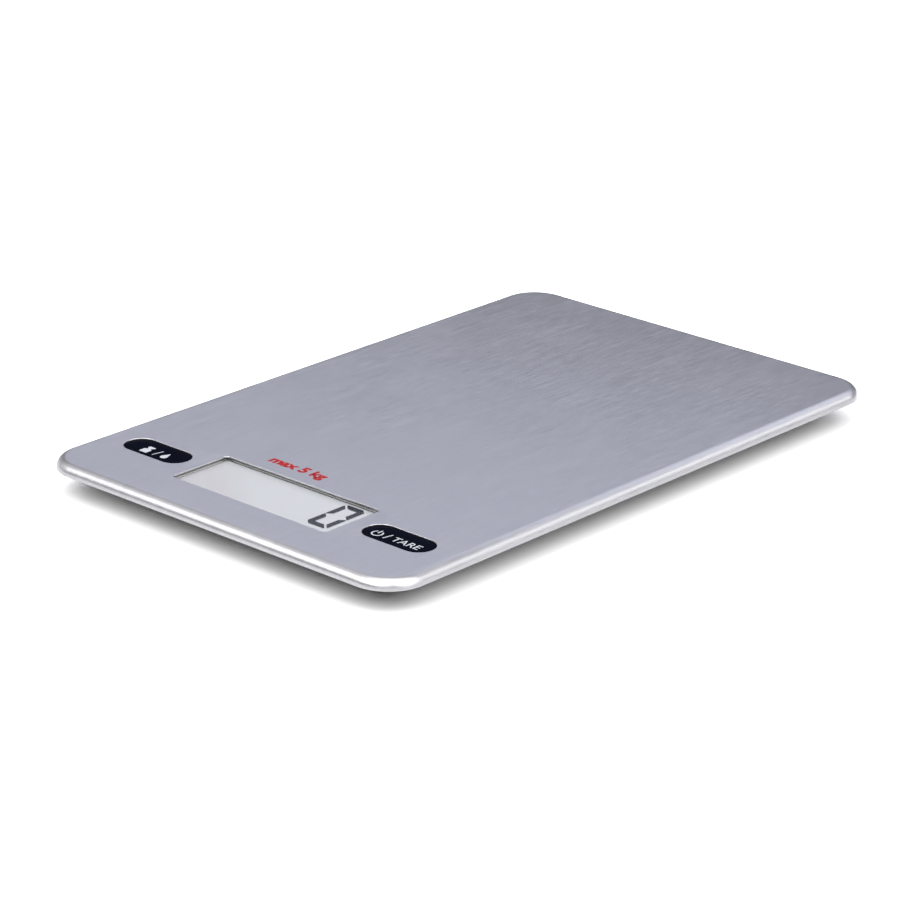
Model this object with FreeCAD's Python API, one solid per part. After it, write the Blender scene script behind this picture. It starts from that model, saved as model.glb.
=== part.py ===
"""Flat digital kitchen scale with a pressed steel weighing platform.

Four load cells hang under a moulded carrier that is bonded into the steel platform. Each cell stands
on its own foot, so the whole platform, with its display and its two keys, is the part that is weighed.

Frame, in millimetres: origin on the table under the middle of the platform, +X to the user's right,
+Y away from the user, +Z up. The display and the keys are along the front edge, at -Y.
"""
import FreeCAD
import Part
import math
import os

V = FreeCAD.Vector

# ---- Driving dimensions ------------------------------------------------------------------------
PLATFORM_W = 145.0          # across, along X
PLATFORM_L = 226.0          # front to back, along Y
PLATFORM_CORNER = 12.8      # corner radius seen from above
EDGE_ROUND = 3.1            # outside radius of the pressed edge
RIM_H = 3.4                 # height of the pressed rim
SHEET = 0.5                 # steel thickness
TOTAL_H = 12.0              # table to weighing surface

ROW_Y = -85.2               # centre line of the display and the keys
WINDOW_W, WINDOW_D, WINDOW_CORNER = 63.3, 23.1, 1.5
KEY_X = 49.8                # each key's distance from the middle
KEY_W, KEY_D = 25.4, 10.6   # key openings in the steel
KEY_TRAVEL = 0.4            # press until the switch bottoms
OPENING_EDGE = 0.15         # rounding of the punched edges

FOOT_X, FOOT_FRONT_Y, FOOT_REAR_Y = 44.0, -57.5, 86.0
FOOT_LIFT = 0.3             # how far a loaded cell lets its foot rise

# ---- Heights, from the top down ----------------------------------------------------------------
SHEET_UNDER = TOTAL_H - SHEET
RIM_BOTTOM = TOTAL_H - RIM_H
TAPE = 0.2
CARRIER_TOP = SHEET_UNDER - TAPE
CARRIER_T = 1.4
CARRIER_UNDER = CARRIER_TOP - CARRIER_T
FLOOR_UNDER = 3.0           # outside of the bottom cover
FLOOR_T = 1.2
FLOOR_TOP = FLOOR_UNDER + FLOOR_T
PCB_UNDER, PCB_T = 5.2, 1.0
PCB_TOP = PCB_UNDER + PCB_T
CELL_UNDER, CELL_T = 7.2, 1.2
CELL_TOP = CELL_UNDER + CELL_T
WIRE_D = 0.8
WIRE_Z = PCB_TOP + WIRE_D / 2 + 0.05

# ---- Bottom cover ------------------------------------------------------------------------------
FLANGE_INSET, FLANGE_T = 0.95, 1.2
SLOPE_TOP_INSET, SLOPE_FOOT_INSET = 6.0, 13.0
COVER_WALL = 1.6            # measured level, through the sloping wall
COVER_CORNER = 12.0
FLANGE_UNDER = CARRIER_UNDER - FLANGE_T
SCREW_POSTS = [(sx * x, y) for sx in (-1, 1) for x, y in ((24.5, -60.0), (52.0, 20.0), (26.0, 92.0))]
POST_TOP = 6.4
SCREW_HEAD_SEAT = 4.6
SCREW_R, SCREW_HEAD_R = 1.1, 2.0
LABEL_T = 0.12

# ---- Keys --------------------------------------------------------------------------------------
KEY_GAP = 0.25              # around the cap, in its opening
KEY_FACE = TOTAL_H - 0.45
KEY_EDGE = 0.12             # rounding of the cap's face
KEY_FLANGE_OUT, KEY_FLANGE_T = 0.9, 0.8
KEY_STOP_GAP = 0.05         # flange to steel at rest
KEY_WELL_OUT = 1.2          # carrier opening, past the steel opening
KEY_WELL_WALL = 0.8
KEY_LEDGE_UNDER, KEY_LEDGE_TOP = 9.2, 10.0
KEY_PLATE_IN = 1.0          # how much narrower the cap's lower plate is than the opening
KEY_PLATE_UNDER = 9.3
KEY_TUBE_GAP, KEY_TUBE_WALL = 0.3, 1.2
SHELF_UNDER, SHELF_T = 7.4, 1.0
GUIDE_X, GUIDE_R = 8.0, 1.0
RUNNING = 0.05              # radial clearance of a running fit
SWITCH_SIZE, SWITCH_H = 6.0, 1.0
PLUNGER_R, PLUNGER_H = 1.3, 0.6
PLUNGER_UNDER = PCB_TOP + SWITCH_H - 0.3

# ---- Display -----------------------------------------------------------------------------------
LENS_W, LENS_D, LENS_T, LENS_TAPE = 68.0, 27.6, 1.0, 0.1
LENS_UNDER = SHEET_UNDER - LENS_TAPE - LENS_T
GLASS_W, GLASS_D, GLASS_T = 65.0, 25.4, 0.9
FILM_T = 0.2
LEDGE = 1.9                 # how far the front glass overhangs the rear one
DISPLAY_WELL_W, DISPLAY_WELL_D = 69.2, 28.6
HOLDER_W, HOLDER_D = 68.4, 28.2
EAR_X, EAR_Y, EAR_SIZE, EAR_T = 35.8, -74.9, 4.2, 1.2

# ---- Battery compartment -----------------------------------------------------------------------
BATTERY_Y = -43.0
BATTERY_R, BATTERY_H, BATTERY_UNDER = 10.0, 3.2, 4.5
BATTERY_POCKET_R = 10.6
BOX_W, BOX_FRONT, BOX_REAR = 27.0, -57.4, -28.6
DOOR_W, DOOR_FRONT = 26.4, -58.5
HINGE_Y, HINGE_R = -26.7, 1.2
HINGE_PIN_R, HINGE_PIN_LONG = 0.75, 2.0
DOOR_GAP = 0.3
LATCH_W, LATCH_D = 8.0, 4.0

os.makedirs("parts", exist_ok=True)


# ---- Shapes ------------------------------------------------------------------------------------
def rounded_outline(w, d, r, z, x=0.0, y=0.0):
    """A closed wire: a rectangle w by d with corners of radius r, at height z, centred on x, y."""
    hw, hd = w / 2 - r, d / 2 - r
    corners = ((hw, hd, 0), (-hw, hd, 90), (-hw, -hd, 180), (hw, -hd, 270))
    arcs = []
    for cx, cy, start in corners:
        turns = [math.radians(start + a) for a in (0, 45, 90)]
        on_arc = [V(x + cx + r * math.cos(a), y + cy + r * math.sin(a), z) for a in turns]
        arcs.append(Part.Arc(*on_arc).toShape())
    edges = []
    for n, arc in enumerate(arcs):
        edges.append(arc)
        here, following = arc.Vertexes[-1].Point, arcs[(n + 1) % 4].Vertexes[0].Point
        if here.distanceToPoint(following) > 1e-6:
            edges.append(Part.LineSegment(here, following).toShape())
    return Part.Wire(edges)


def slab(w, d, r, z0, z1, x=0.0, y=0.0):
    """A flat block with rounded corners, from z0 up to z1."""
    return Part.Face(rounded_outline(w, d, r, z0, x, y)).extrude(V(0, 0, z1 - z0))


def pill(w, d, z0, z1, x=0.0, y=0.0):
    """A flat block with round ends, longer along X."""
    return slab(w, d, d / 2 - 1e-4, z0, z1, x, y)


def disc(r, z0, z1, x=0.0, y=0.0):
    return Part.makeCylinder(r, z1 - z0, V(x, y, z0))


def block(x0, x1, y0, y1, z0, z1):
    return Part.makeBox(x1 - x0, y1 - y0, z1 - z0, V(x0, y0, z0))


def frustum(lower, upper):
    """A block whose outline changes from lower (w, d, r, z) to upper (w, d, r, z)."""
    return Part.makeLoft([rounded_outline(*lower), rounded_outline(*upper)], True, True)


def fused(first, *others):
    return first.multiFuse(list(others)).removeSplitter() if others else first


def cut(shape, *tools):
    return shape.cut(Part.makeCompound(list(tools)))


def round_edges(shape, radius, wanted):
    """Rounds the edges that wanted(edge) picks."""
    return shape.makeFillet(radius, [e for e in shape.Edges if wanted(e)])


def level_at(z):
    """Picks edges that lie level at height z."""
    return lambda e: abs(e.BoundBox.ZMin - z) < 1e-4 and abs(e.BoundBox.ZMax - z) < 1e-4


def hinge_rod(r, half):
    """A rod of radius r on the battery door's hinge line, half long each way from the middle."""
    return Part.makeCylinder(r, 2 * half, V(-half, HINGE_Y, FLOOR_TOP), V(1, 0, 0))


def strip(points, thickness, y0, y1):
    """Sheet metal bent along points (x, z), thickness thick upwards, from y0 to y1."""
    above = [(x, z + thickness) for x, z in reversed(points)]
    corners = [V(x, y0, z) for x, z in list(points) + above]
    return Part.Face(Part.makePolygon(corners + corners[:1])).extrude(V(0, y1 - y0, 0))


def wire_run(points, bend):
    """A round wire along level points (x, y): straight runs joined by tangent arcs of radius bend."""
    path = [V(x, y, WIRE_Z) for x, y in points]
    edges, here = [], path[0]
    for before, corner, after in zip(path, path[1:], path[2:]):
        towards = (corner - before).normalize()
        onwards = (after - corner).normalize()
        half_turn = towards.getAngle(onwards) / 2
        reach = bend * math.tan(half_turn)
        first, last = corner - towards * reach, corner + onwards * reach
        inward = (onwards - towards).normalize()
        middle = corner + inward * (bend / math.cos(half_turn) - bend)
        edges.append(Part.LineSegment(here, first).toShape())
        edges.append(Part.Arc(first, middle, last).toShape())
        here = last
    edges.append(Part.LineSegment(here, path[-1]).toShape())
    start = (path[1] - path[0]).normalize()
    section = Part.Wire(Part.makeCircle(WIRE_D / 2, path[0], start))
    return Part.Wire(edges).makePipeShell([section], True, False)


def keep(name, shape):
    """Writes one node, after testing that each of its solids is sound."""
    for solid in shape.Solids:
        if not solid.isValid() or solid.Volume <= 0:
            raise ValueError(f"{name} has an unsound solid")
    if not shape.Solids:
        raise ValueError(f"{name} has no solid")
    shape = shape.Solids[0] if len(shape.Solids) == 1 else Part.makeCompound(shape.Solids)
    shape.exportStep(f"parts/{name}.step")


# ---- Steel platform ----------------------------------------------------------------------------
def key_places():
    return (("unit", -KEY_X), ("tare", KEY_X))


def platform_cover():
    """Pressed from one sheet: rounded rim, display window and two key openings punched through."""
    outside = slab(PLATFORM_W, PLATFORM_L, PLATFORM_CORNER, RIM_BOTTOM, TOTAL_H)
    outside = round_edges(outside, EDGE_ROUND, level_at(TOTAL_H))
    inside = slab(
        PLATFORM_W - 2 * SHEET, PLATFORM_L - 2 * SHEET, PLATFORM_CORNER - SHEET, RIM_BOTTOM - 1, SHEET_UNDER
    )
    inside = round_edges(inside, EDGE_ROUND - SHEET, level_at(SHEET_UNDER))
    through = (SHEET_UNDER - 1, TOTAL_H + 1)
    openings = [slab(WINDOW_W, WINDOW_D, WINDOW_CORNER, *through, 0, ROW_Y)]
    openings += [pill(KEY_W, KEY_D, *through, x, ROW_Y) for _, x in key_places()]
    cover = cut(outside.cut(inside), *openings)
    front_row = ROW_Y + WINDOW_D

    def punched(e):
        return level_at(TOTAL_H)(e) and e.BoundBox.YMax < front_row and e.BoundBox.XLength < WINDOW_W + 1 \
            and abs(e.BoundBox.YMin) < PLATFORM_L / 2 - 2 * EDGE_ROUND

    return round_edges(cover, OPENING_EDGE, punched)


def display_well(grow, z0, z1):
    return slab(DISPLAY_WELL_W + grow, DISPLAY_WELL_D + grow, 2.0, z0, z1, 0, ROW_Y)


def platform_tape():
    """Double-sided tape that bonds the steel to the carrier."""
    sheet = slab(PLATFORM_W - 7.5, PLATFORM_L - 7.5, PLATFORM_CORNER - 3.0, CARRIER_TOP, SHEET_UNDER)
    through, clear = (CARRIER_TOP - 1, SHEET_UNDER + 1), 2 * KEY_WELL_OUT + 0.6
    wells = [pill(KEY_W + clear, KEY_D + clear, *through, x, ROW_Y) for _, x in key_places()]
    return cut(sheet, display_well(0.6, *through), *wells)


# ---- Carrier -----------------------------------------------------------------------------------
CELL_SIZE, CELL_HOLE = 25.0, 9.5
PCB_BOSSES = [(sx * x, y) for sx in (-1, 1) for x, y in ((46.0, -96.0), (55.0, -74.8))]


def cell_places():
    """Each cell's name, place and which way its root points along Y: always towards the circuit board."""
    return [
        (f"{end}_{side}", sx * FOOT_X, y)
        for end, y in (("front", FOOT_FRONT_Y), ("rear", FOOT_REAR_Y))
        for side, sx in (("left", -1), ("right", 1))
    ]


def carrier_frame():
    """Moulded frame under the steel, with ribs, key wells, screw bosses and the load cells' posts."""
    plate = slab(
        PLATFORM_W - 5.2, PLATFORM_L - 5.2, PLATFORM_CORNER - 2.6, CARRIER_UNDER, CARRIER_TOP
    )
    rib_under, rib_t = 8.9, 1.2
    added, removed = [], [display_well(0, CARRIER_UNDER - 1, CARRIER_TOP + 1)]
    for x in (-24.0, -8.0, 8.0, 24.0):
        added.append(block(x - rib_t / 2, x + rib_t / 2, -22, 104, rib_under, CARRIER_UNDER))
    for y in (-10.0, 15.0, 40.0, 62.0):
        added.append(block(-63, 63, y - rib_t / 2, y + rib_t / 2, rib_under, CARRIER_UNDER))
    for x, y in SCREW_POSTS:
        added.append(disc(3.0, POST_TOP, CARRIER_UNDER, x, y))
        removed.append(disc(SCREW_R + 0.02, POST_TOP - 1, CARRIER_UNDER - 0.4, x, y))
    for x, y in PCB_BOSSES:
        added.append(disc(2.2, PCB_TOP, CARRIER_UNDER, x, y))
        removed.append(disc(0.82, PCB_TOP - 1, CARRIER_UNDER - 0.4, x, y))
    for _, x in key_places():
        well_w, well_d = KEY_W + 2 * KEY_WELL_OUT, KEY_D + 2 * KEY_WELL_OUT
        tube_w, tube_d = (size + 2 * (KEY_TUBE_GAP - KEY_PLATE_IN) for size in (KEY_W, KEY_D))
        ledge = 2 * KEY_WELL_WALL
        added.append(pill(well_w + ledge, well_d + ledge, KEY_LEDGE_UNDER, CARRIER_UNDER + 0.2, x, ROW_Y))
        added.append(
            pill(tube_w + 2 * KEY_TUBE_WALL, tube_d + 2 * KEY_TUBE_WALL, SHELF_UNDER, KEY_LEDGE_TOP, x, ROW_Y)
        )
        removed.append(pill(well_w, well_d, KEY_LEDGE_TOP, CARRIER_TOP + 1, x, ROW_Y))
        removed.append(pill(tube_w, tube_d, SHELF_UNDER + SHELF_T, CARRIER_TOP + 1, x, ROW_Y))
        removed.append(disc(2.5, SHELF_UNDER - 1, SHELF_UNDER + 2, x, ROW_Y))
        for sx in (-1, 1):
            removed.append(disc(GUIDE_R + RUNNING, SHELF_UNDER - 1, SHELF_UNDER + 2, x + sx * GUIDE_X, ROW_Y))
    for _, x, y in cell_places():
        for sx in (-1, 1):
            for sy in (-1, 1):
                px, py = x + sx * CELL_HOLE, y + sy * CELL_HOLE
                added.append(disc(2.4, CELL_TOP, CARRIER_UNDER, px, py))
                if sy > 0:
                    removed.append(disc(0.92, CELL_TOP - 1, CARRIER_TOP - 0.4, px, py))
                else:
                    added.append(disc(1.0, CELL_UNDER + 0.2, CELL_TOP, px, py))
    return cut(fused(plate, *added), *removed)


# ---- Bottom cover and what closes it -----------------------------------------------------------
def bottom_cover():
    """Shallow dish that closes the underside, with holes for the feet and the battery opening."""
    def outline(inset, z):
        return PLATFORM_W - 2 * inset, PLATFORM_L - 2 * inset, COVER_CORNER, z

    flange = slab(*outline(FLANGE_INSET, 0)[:3], FLANGE_UNDER, CARRIER_UNDER)
    dish = frustum(outline(SLOPE_FOOT_INSET, FLOOR_UNDER), outline(SLOPE_TOP_INSET, FLANGE_UNDER))
    dish = round_edges(dish, 1.2, level_at(FLOOR_UNDER))
    slope = (SLOPE_FOOT_INSET - SLOPE_TOP_INSET) / (FLANGE_UNDER - FLOOR_UNDER)
    inner_foot = SLOPE_FOOT_INSET + COVER_WALL - slope * FLOOR_T
    inner_top = SLOPE_TOP_INSET + COVER_WALL
    hollow = frustum(outline(inner_foot, FLOOR_TOP), outline(inner_top, FLANGE_UNDER))
    mouth = slab(*outline(inner_top, 0)[:3], FLANGE_UNDER - 0.01, CARRIER_UNDER + 1)
    cover = cut(fused(flange, dish), hollow, mouth)

    added, removed = [], []
    for x, y in SCREW_POSTS:
        added.append(disc(3.5, FLOOR_TOP - 0.2, POST_TOP, x, y))
        removed.append(disc(SCREW_HEAD_R + 0.3, FLOOR_UNDER - 1, SCREW_HEAD_SEAT, x, y))
        removed.append(disc(SCREW_R + 0.15, FLOOR_UNDER, POST_TOP + 1, x, y))
    for _, x, y in cell_places():
        added.append(disc(FOOT_HOLE_R + 1.2, FLOOR_UNDER - 0.5, FLOOR_TOP, x, y))
        removed.append(disc(FOOT_HOLE_R, FLOOR_UNDER - 1, FLOOR_TOP + 1, x, y))
    opening_w = DOOR_W + 2 * DOOR_GAP
    removed.append(
        block(-opening_w / 2, opening_w / 2, DOOR_FRONT - DOOR_GAP, HINGE_Y + HINGE_R + DOOR_GAP,
              FLOOR_UNDER - 1, FLOOR_TOP + 1)
    )
    for sx in (-1, 1):
        near, far = sorted((sx * opening_w / 2, sx * (opening_w / 2 + HINGE_PIN_LONG + 0.2)))
        added.append(block(near, far, HINGE_Y - 2.0, HINGE_Y + 2.0, FLOOR_UNDER + 0.2, FLOOR_TOP + 2.0))
    removed.append(hinge_rod(HINGE_PIN_R + RUNNING, opening_w / 2 + HINGE_PIN_LONG))
    return cut(fused(cover, *added), *removed)


def cross_recess_screw(head_r, head_h, shank_r, shank_len, x, y, seat):
    """A pan-head screw driven upwards: its head is under seat, with a cross recess from below."""
    head = disc(head_r, seat - head_h, seat, x, y)
    head = round_edges(head, head_h * 0.4, level_at(seat - head_h))
    shank = disc(shank_r, seat - 0.01, seat + shank_len, x, y)
    tip = Part.makeCone(shank_r, shank_r * 0.45, shank_r, V(x, y, seat + shank_len), V(0, 0, 1))
    half, width, deep = head_r * 0.55, head_r * 0.11, head_h * 0.6
    low = seat - head_h - 1
    recess = [
        block(x - half, x + half, y - width, y + width, low, low + 1 + deep),
        block(x - width, x + width, y - half, y + half, low, low + 1 + deep),
    ]
    return cut(fused(head, shank, tip), *recess)


def housing_screws():
    """The six screws that hold the bottom cover to the carrier."""
    return Part.makeCompound(
        [cross_recess_screw(SCREW_HEAD_R, 1.2, SCREW_R, 3.6, x, y, SCREW_HEAD_SEAT) for x, y in SCREW_POSTS]
    )


def rating_label():
    """Blank metallised sticker on the underside."""
    return slab(46.0, 26.0, 1.5, FLOOR_UNDER - LABEL_T, FLOOR_UNDER, 0, 40.0)


# ---- Keys and switches -------------------------------------------------------------------------
def key_cap(x):
    """Pill-shaped cap on a wider flange, with two guide pins and the stem that works the switch."""
    flange_top = SHEET_UNDER - KEY_STOP_GAP
    flange_under = flange_top - KEY_FLANGE_T
    cap = pill(KEY_W - 2 * KEY_GAP, KEY_D - 2 * KEY_GAP, flange_under, KEY_FACE, x, ROW_Y)
    cap = round_edges(cap, KEY_EDGE, level_at(KEY_FACE))
    outer = 2 * KEY_FLANGE_OUT
    flange = pill(KEY_W + outer, KEY_D + outer, flange_under, flange_top, x, ROW_Y)
    inner = 2 * KEY_PLATE_IN
    plate = pill(KEY_W - inner, KEY_D - inner, KEY_PLATE_UNDER, flange_under + 0.1, x, ROW_Y)
    stem = disc(1.5, PCB_TOP + SWITCH_H + PLUNGER_H, KEY_PLATE_UNDER + 0.1, x, ROW_Y)
    pins = [
        disc(GUIDE_R, SHELF_UNDER + 0.2, KEY_PLATE_UNDER + 0.1, pin_x, ROW_Y)
        for pin_x in (x - GUIDE_X, x + GUIDE_X)
    ]
    return fused(cap, flange, plate, stem, *pins)


def switch_body(x):
    """Low tact switch on the circuit board."""
    half = SWITCH_SIZE / 2
    body = slab(SWITCH_SIZE, SWITCH_SIZE, 0.6, PCB_TOP, PCB_TOP + SWITCH_H, x, ROW_Y)
    reach, apart, wide, sheet = half + 1.0, 2.0, 0.4, 0.2
    legs = [
        block(x - reach, x + reach, y - wide, y + wide, PCB_TOP, PCB_TOP + sheet)
        for y in (ROW_Y - apart, ROW_Y + apart)
    ]
    shaft = disc(PLUNGER_R + RUNNING, PLUNGER_UNDER - KEY_TRAVEL - 0.05, PCB_TOP + SWITCH_H + 1, x, ROW_Y)
    return cut(fused(body, *legs), shaft)


def switch_plunger(x):
    return disc(PLUNGER_R, PLUNGER_UNDER, PCB_TOP + SWITCH_H + PLUNGER_H, x, ROW_Y)


# ---- Display -----------------------------------------------------------------------------------
def display_lens():
    return slab(LENS_W, LENS_D, 2.0, LENS_UNDER, LENS_UNDER + LENS_T, 0, ROW_Y)


def lens_tape():
    """Black adhesive ring between the lens and the steel."""
    z0, z1 = SHEET_UNDER - LENS_TAPE, SHEET_UNDER
    ring = slab(LENS_W, LENS_D, 2.0, z0, z1, 0, ROW_Y)
    return ring.cut(slab(WINDOW_W + 1.0, WINDOW_D + 1.0, 1.8, z0 - 1, z1 + 1, 0, ROW_Y))


LCD_TOP = LENS_UNDER - 0.05


def lcd_parts():
    """The display from the top down: polariser, front glass, rear glass and reflector, then the strips."""
    front_top = LCD_TOP - FILM_T
    rear_top = front_top - GLASS_T
    rear_under = rear_top - GLASS_T
    rear_d = GLASS_D - 2 * LEDGE
    strips = []
    for sy in (-1, 1):
        middle = ROW_Y + sy * (GLASS_D - LEDGE) / 2
        strips.append(block(-29, 29, middle - 0.75, middle + 0.75, PCB_TOP, rear_top))
    return {
        "lcd_polariser": block(-32, 32, ROW_Y - 11.8, ROW_Y + 11.8, front_top, LCD_TOP),
        "lcd_front_glass": block(
            -GLASS_W / 2, GLASS_W / 2, ROW_Y - GLASS_D / 2, ROW_Y + GLASS_D / 2, rear_top, front_top
        ),
        "lcd_rear_glass": block(
            -GLASS_W / 2, GLASS_W / 2, ROW_Y - rear_d / 2, ROW_Y + rear_d / 2, rear_under, rear_top
        ),
        "lcd_reflector": block(
            -32, 32, ROW_Y - rear_d / 2 + 0.3, ROW_Y + rear_d / 2 - 0.3, rear_under - FILM_T, rear_under
        ),
        "zebra_strips": Part.makeCompound(strips),
    }


def lcd_holder():
    """White frame that keeps the glass over its contact strips, held to the board by two screws."""
    frame = slab(HOLDER_W, HOLDER_D, 1.5, PCB_TOP, LENS_UNDER, 0, ROW_Y)
    ear_w, ear_x = EAR_SIZE + 3.0, EAR_X - 1.5
    added = [slab(ear_w, EAR_SIZE, 1.5, PCB_TOP, PCB_TOP + EAR_T, x, EAR_Y) for x in (-ear_x, ear_x)]
    pocket = block(
        -GLASS_W / 2 - 0.1, GLASS_W / 2 + 0.1, ROW_Y - GLASS_D / 2 - 0.1, ROW_Y + GLASS_D / 2 + 0.1,
        PCB_TOP - 1, LENS_UNDER + 1,
    )
    holes = [disc(0.7, PCB_TOP - 1, PCB_TOP + 2, x, EAR_Y) for x in (-EAR_X, EAR_X)]
    return cut(fused(frame, *added), pocket, *holes)


# ---- Circuit board -----------------------------------------------------------------------------
BOARD_FRONT, BOARD_REAR, BOARD_TAB_REAR = -98.4, -72.4, -64.5


def main_board():
    middle, depth = (BOARD_FRONT + BOARD_REAR) / 2, BOARD_REAR - BOARD_FRONT
    board = slab(116.0, depth, 8.0, PCB_UNDER, PCB_TOP, 0, middle)
    square_rear = block(-58, 58, middle, BOARD_REAR, PCB_UNDER, PCB_TOP)
    tab = block(-22, 22, BOARD_REAR - 1, BOARD_TAB_REAR, PCB_UNDER, PCB_TOP)
    holes = [disc(1.0, PCB_UNDER - 1, PCB_TOP + 1, x, y) for x, y in PCB_BOSSES]
    holes += [disc(0.7, PCB_UNDER - 1, PCB_TOP + 1, x, EAR_Y) for x in (-EAR_X, EAR_X)]
    return cut(fused(board, square_rear, tab), *holes)


def board_screws():
    """Four screws hold the board to the carrier from below."""
    return Part.makeCompound([cross_recess_screw(1.6, 0.8, 0.8, 3.2, x, y, PCB_UNDER) for x, y in PCB_BOSSES])


def holder_screws():
    """Two small screws hold the display frame to the board, driven from above."""
    screws = []
    seat = PCB_TOP + EAR_T
    for x in (-EAR_X, EAR_X):
        head = disc(1.3, seat, seat + 0.6, x, EAR_Y)
        shank = disc(0.68, PCB_UNDER - 0.3, seat + 0.01, x, EAR_Y)
        slot = block(x - 0.9, x + 0.9, EAR_Y - 0.18, EAR_Y + 0.18, seat + 0.25, seat + 1)
        screws.append(fused(head, shank).cut(slot))
    return Part.makeCompound(screws)


def chip_blob():
    """Epoxy dome over the bare chip, under the board."""
    sphere_r, high = 14.0, 0.8
    centre = V(0, ROW_Y, PCB_UNDER - high + sphere_r)
    return Part.makeSphere(sphere_r, centre).common(disc(8.0, PCB_UNDER - 2, PCB_UNDER, 0, ROW_Y))


def chip_row(count, length, width, height, x, y, pitch):
    """Small surface-mount parts in a column on the board, and their mirror column."""
    return Part.makeCompound([
        block(sx * x - length / 2, sx * x + length / 2, y + n * pitch - width / 2, y + n * pitch + width / 2,
              PCB_TOP, PCB_TOP + height)
        for sx in (-1, 1) for n in range(count)
    ])


# ---- Battery compartment -----------------------------------------------------------------------
def battery_box():
    """Box that holds the coin cell from above, open towards the door."""
    middle, depth = (BOX_FRONT + BOX_REAR) / 2, BOX_REAR - BOX_FRONT
    roof = BATTERY_UNDER + BATTERY_H + 0.7
    box = slab(BOX_W, depth, 2.0, FLOOR_TOP + 0.2, CARRIER_UNDER, 0, middle)
    pocket = disc(BATTERY_POCKET_R, FLOOR_TOP - 1, roof, 0, BATTERY_Y)
    finger = pill(12.0, 7.0, FLOOR_TOP - 1, roof, 0, BATTERY_Y - BATTERY_POCKET_R)
    return cut(box, pocket, finger)


def coin_cell():
    """Coin cell, its positive can towards the door and its smaller negative cap upwards."""
    can_h = BATTERY_H - 0.5
    can = disc(BATTERY_R, BATTERY_UNDER, BATTERY_UNDER + can_h, 0, BATTERY_Y)
    can = round_edges(can, 0.4, lambda e: abs(e.BoundBox.ZMax - e.BoundBox.ZMin) < 1e-4)
    cap = disc(8.7, BATTERY_UNDER + can_h - 0.1, BATTERY_UNDER + BATTERY_H, 0, BATTERY_Y)
    cap = round_edges(cap, 0.3, level_at(BATTERY_UNDER + BATTERY_H))
    return fused(can, cap)


def negative_contact():
    """Bent leaf spring under the box's roof that presses on the cell's cap."""
    sheet, roof, cap = 0.25, BATTERY_UNDER + BATTERY_H + 0.7, BATTERY_UNDER + BATTERY_H
    line = [(-8.5, roof - sheet), (-4.0, roof - sheet), (2.0, cap), (3.6, cap), (5.0, cap + 0.3)]
    return strip(line, sheet, BATTERY_Y - 2.5, BATTERY_Y + 2.5)


def positive_contact():
    """Upright spring beside the cell, folded over under the roof."""
    sheet, roof = 0.25, BATTERY_UNDER + BATTERY_H + 0.7
    upright = block(BATTERY_R + 0.03, BATTERY_R + 0.03 + sheet, BATTERY_Y - 2.0, BATTERY_Y + 2.0, 5.2, roof)
    foot = block(BATTERY_R - 0.8, BATTERY_R + 0.1, BATTERY_Y - 2.0, BATTERY_Y + 2.0, roof - sheet, roof)
    return fused(upright, foot)


def battery_door():
    """Flush door with a round hinge edge on two pins, and a thumb groove by its latch."""
    half = DOOR_W / 2
    plate = block(-half, half, DOOR_FRONT, HINGE_Y, FLOOR_UNDER, FLOOR_TOP)
    knuckle = hinge_rod(HINGE_R, half)
    pins = hinge_rod(HINGE_PIN_R, half + HINGE_PIN_LONG)
    reach, low, high = LATCH_W / 2 + 0.3, FLOOR_UNDER - 1, FLOOR_TOP + 1
    notch = block(-reach, reach, DOOR_FRONT - 1, DOOR_FRONT + LATCH_D, low, high)
    first, pitch, wide = DOOR_FRONT + 6.0, 1.6, 0.8
    half_groove, groove_top = 7.0, FLOOR_UNDER + 0.35
    grooves = [
        block(-half_groove, half_groove, first + n * pitch, first + n * pitch + wide, low, groove_top)
        for n in range(4)
    ]
    return cut(fused(plate, knuckle, pins), notch, *grooves)


def battery_door_latch():
    """Springy finger at the door's free edge, with a hook over the cover's floor."""
    half, hook_top = LATCH_W / 2, FLOOR_TOP + 0.75
    finger = block(-half, half, DOOR_FRONT, DOOR_FRONT + LATCH_D, FLOOR_UNDER, FLOOR_TOP)
    riser = block(-half, half, DOOR_FRONT, DOOR_FRONT + 0.8, FLOOR_TOP - 0.1, hook_top)
    hook = block(-half, half, DOOR_FRONT - 0.9, DOOR_FRONT + 0.1, FLOOR_TOP + 0.05, hook_top)
    return fused(finger, riser, hook)


# ---- Load cells and feet -----------------------------------------------------------------------
FOOT_R, FOOT_HOLE_R = 10.5, 11.3
PAD_R, PAD_T, PAD_SUNK = 9.5, 1.8, 0.4
TONGUE_W, SLOT = 10.4, 1.4
STEM_R = 1.5


def load_cell(x, y):
    """Spring-steel plate: the outer frame is fixed to the carrier and the tongue carries the foot."""
    plate = slab(CELL_SIZE, CELL_SIZE, 2.5, CELL_UNDER, CELL_TOP, x, y)
    low, high = CELL_UNDER - 1, CELL_TOP + 1
    inner = TONGUE_W / 2
    slot = fused(
        block(x - inner - SLOT, x - inner, y - 7.5, y + 6.0 + SLOT, low, high),
        block(x + inner, x + inner + SLOT, y - 7.5, y + 6.0 + SLOT, low, high),
        block(x - inner - SLOT, x + inner + SLOT, y + 6.0, y + 6.0 + SLOT, low, high),
    )
    holes = [disc(1.1, low, high, x + sx * CELL_HOLE, y + sy * CELL_HOLE) for sx in (-1, 1) for sy in (-1, 1)]
    centre_hole = disc(STEM_R + RUNNING, low, high, x, y)
    return cut(plate, slot, centre_hole, *holes)


def strain_gauge(x, y):
    """Foil gauge bonded across the root of the tongue, on its underside."""
    return block(x - 2.4, x + 2.4, y - 7.4, y - 4.8, CELL_UNDER - 0.1, CELL_UNDER)


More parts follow.
